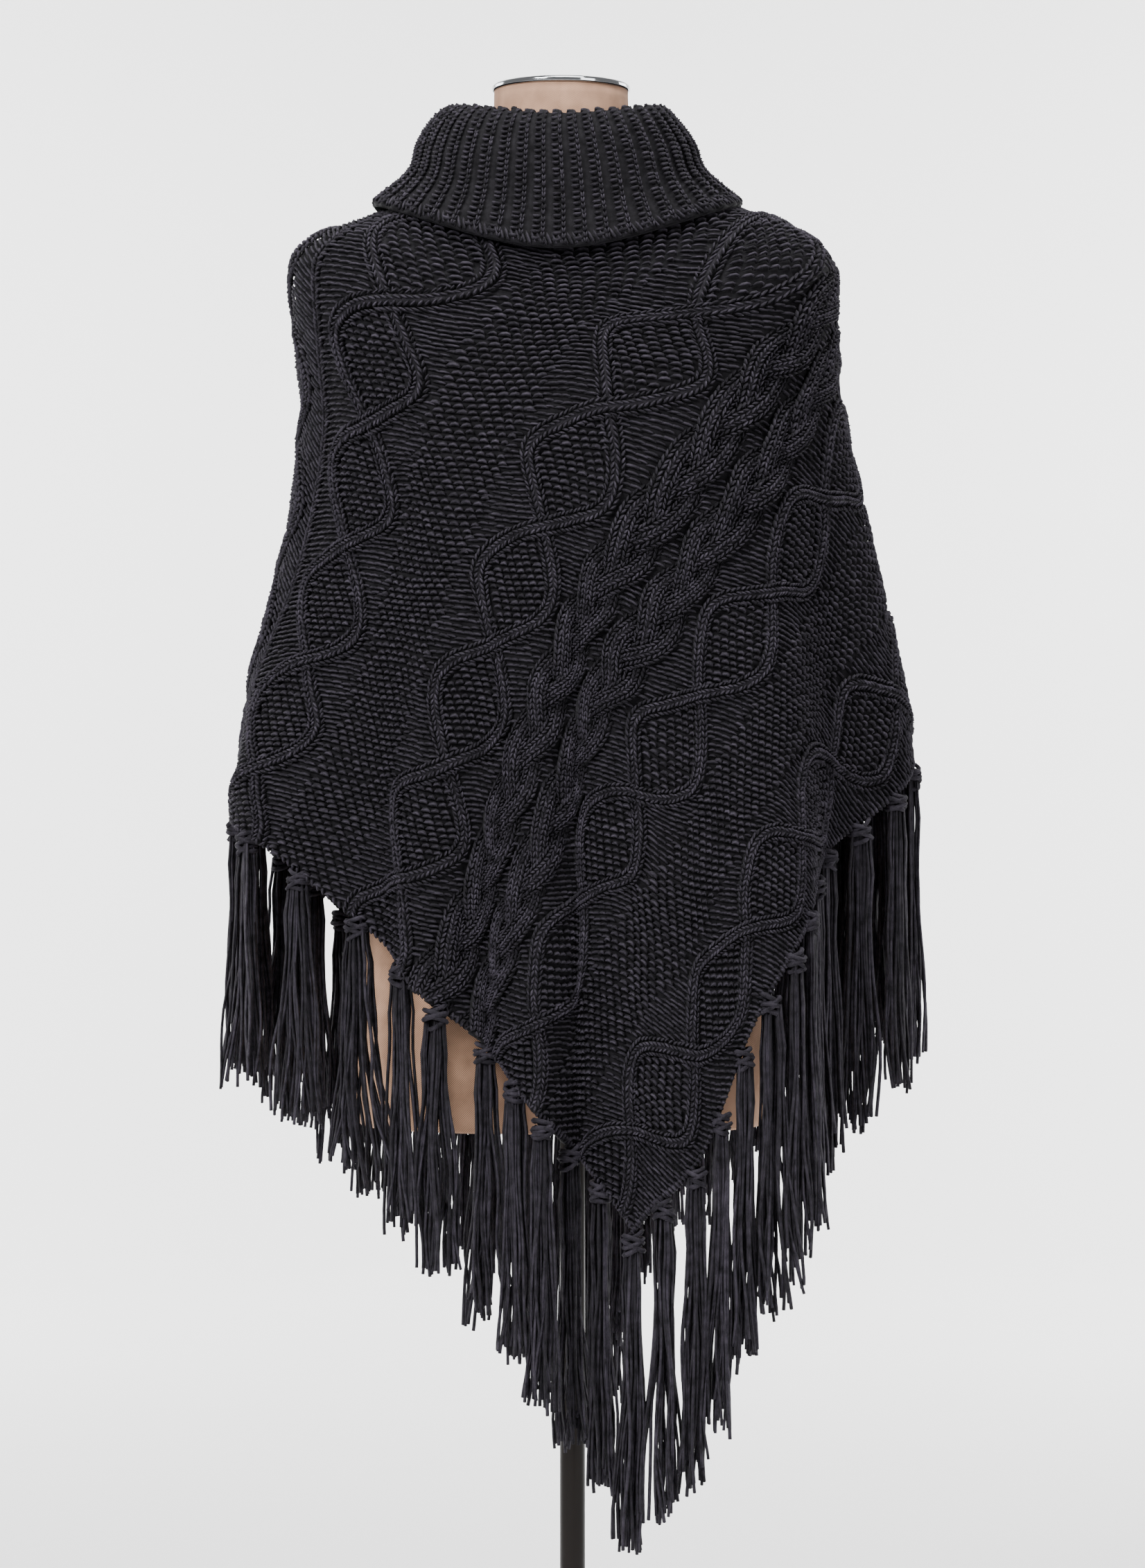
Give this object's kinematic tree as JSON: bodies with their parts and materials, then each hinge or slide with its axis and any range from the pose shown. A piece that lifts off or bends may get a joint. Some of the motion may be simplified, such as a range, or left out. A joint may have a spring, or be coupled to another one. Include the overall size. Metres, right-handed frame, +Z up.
{
  "type": "knitted poncho sweater on a dress form",
  "caption": "Cable-knit poncho with a rolled ribbed collar and a pointed, tasselled hem, shown on a limbless dress form with a pole and round base.",
  "frame": {"origin": "centre of the round base's underside, on the floor, on the axis of the pole", "axes": "+Z up along the pole; -Y towards the front of the garment, where its point hangs; +X to the viewer's right seen from the front"},
  "size_m": [0.5465, 0.3862, 1.4986],
  "materials": {
    "yarn": "chunky knitted wool-blend yarn, very dark charcoal, matt with loose fibres",
    "linen": "plain woven peach-tan linen stretched over the form",
    "chrome": "polished chrome cap",
    "dark_paint": "dark brown-black gloss enamel on steel tube"
  },
  "bodies": {
    "root": {"poncho_body": "yarn", "collar": "yarn", "tassel_01": "yarn", "tassel_02": "yarn", "tassel_03": "yarn", "tassel_04": "yarn", "tassel_05": "yarn", "tassel_06": "yarn", "tassel_07": "yarn", "tassel_08": "yarn", "tassel_09": "yarn", "tassel_10": "yarn", "tassel_11": "yarn", "tassel_12": "yarn", "tassel_13": "yarn", "tassel_14": "yarn", "tassel_15": "yarn", "tassel_16": "yarn", "tassel_17": "yarn", "tassel_18": "yarn", "tassel_19": "yarn", "tassel_20": "yarn", "tassel_21": "yarn", "tassel_22": "yarn", "tassel_23": "yarn", "tassel_24": "yarn", "tassel_25": "yarn", "tassel_26": "yarn", "tassel_27": "yarn", "tassel_28": "yarn", "tassel_29": "yarn", "tassel_30": "yarn", "tassel_31": "yarn", "tassel_32": "yarn", "tassel_33": "yarn", "tassel_34": "yarn", "tassel_35": "yarn", "tassel_36": "yarn", "tassel_37": "yarn", "tassel_38": "yarn", "tassel_39": "yarn", "tassel_40": "yarn", "tassel_41": "yarn", "tassel_42": "yarn", "tassel_43": "yarn", "tassel_44": "yarn", "tassel_45": "yarn", "tassel_46": "yarn", "tassel_47": "yarn", "tassel_48": "yarn", "tassel_49": "yarn", "tassel_50": "yarn", "tassel_51": "yarn", "tassel_52": "yarn", "torso": "linen", "neck_cap": "chrome", "pole": "dark_paint", "base": "dark_paint"}
  },
  "joints": []
}
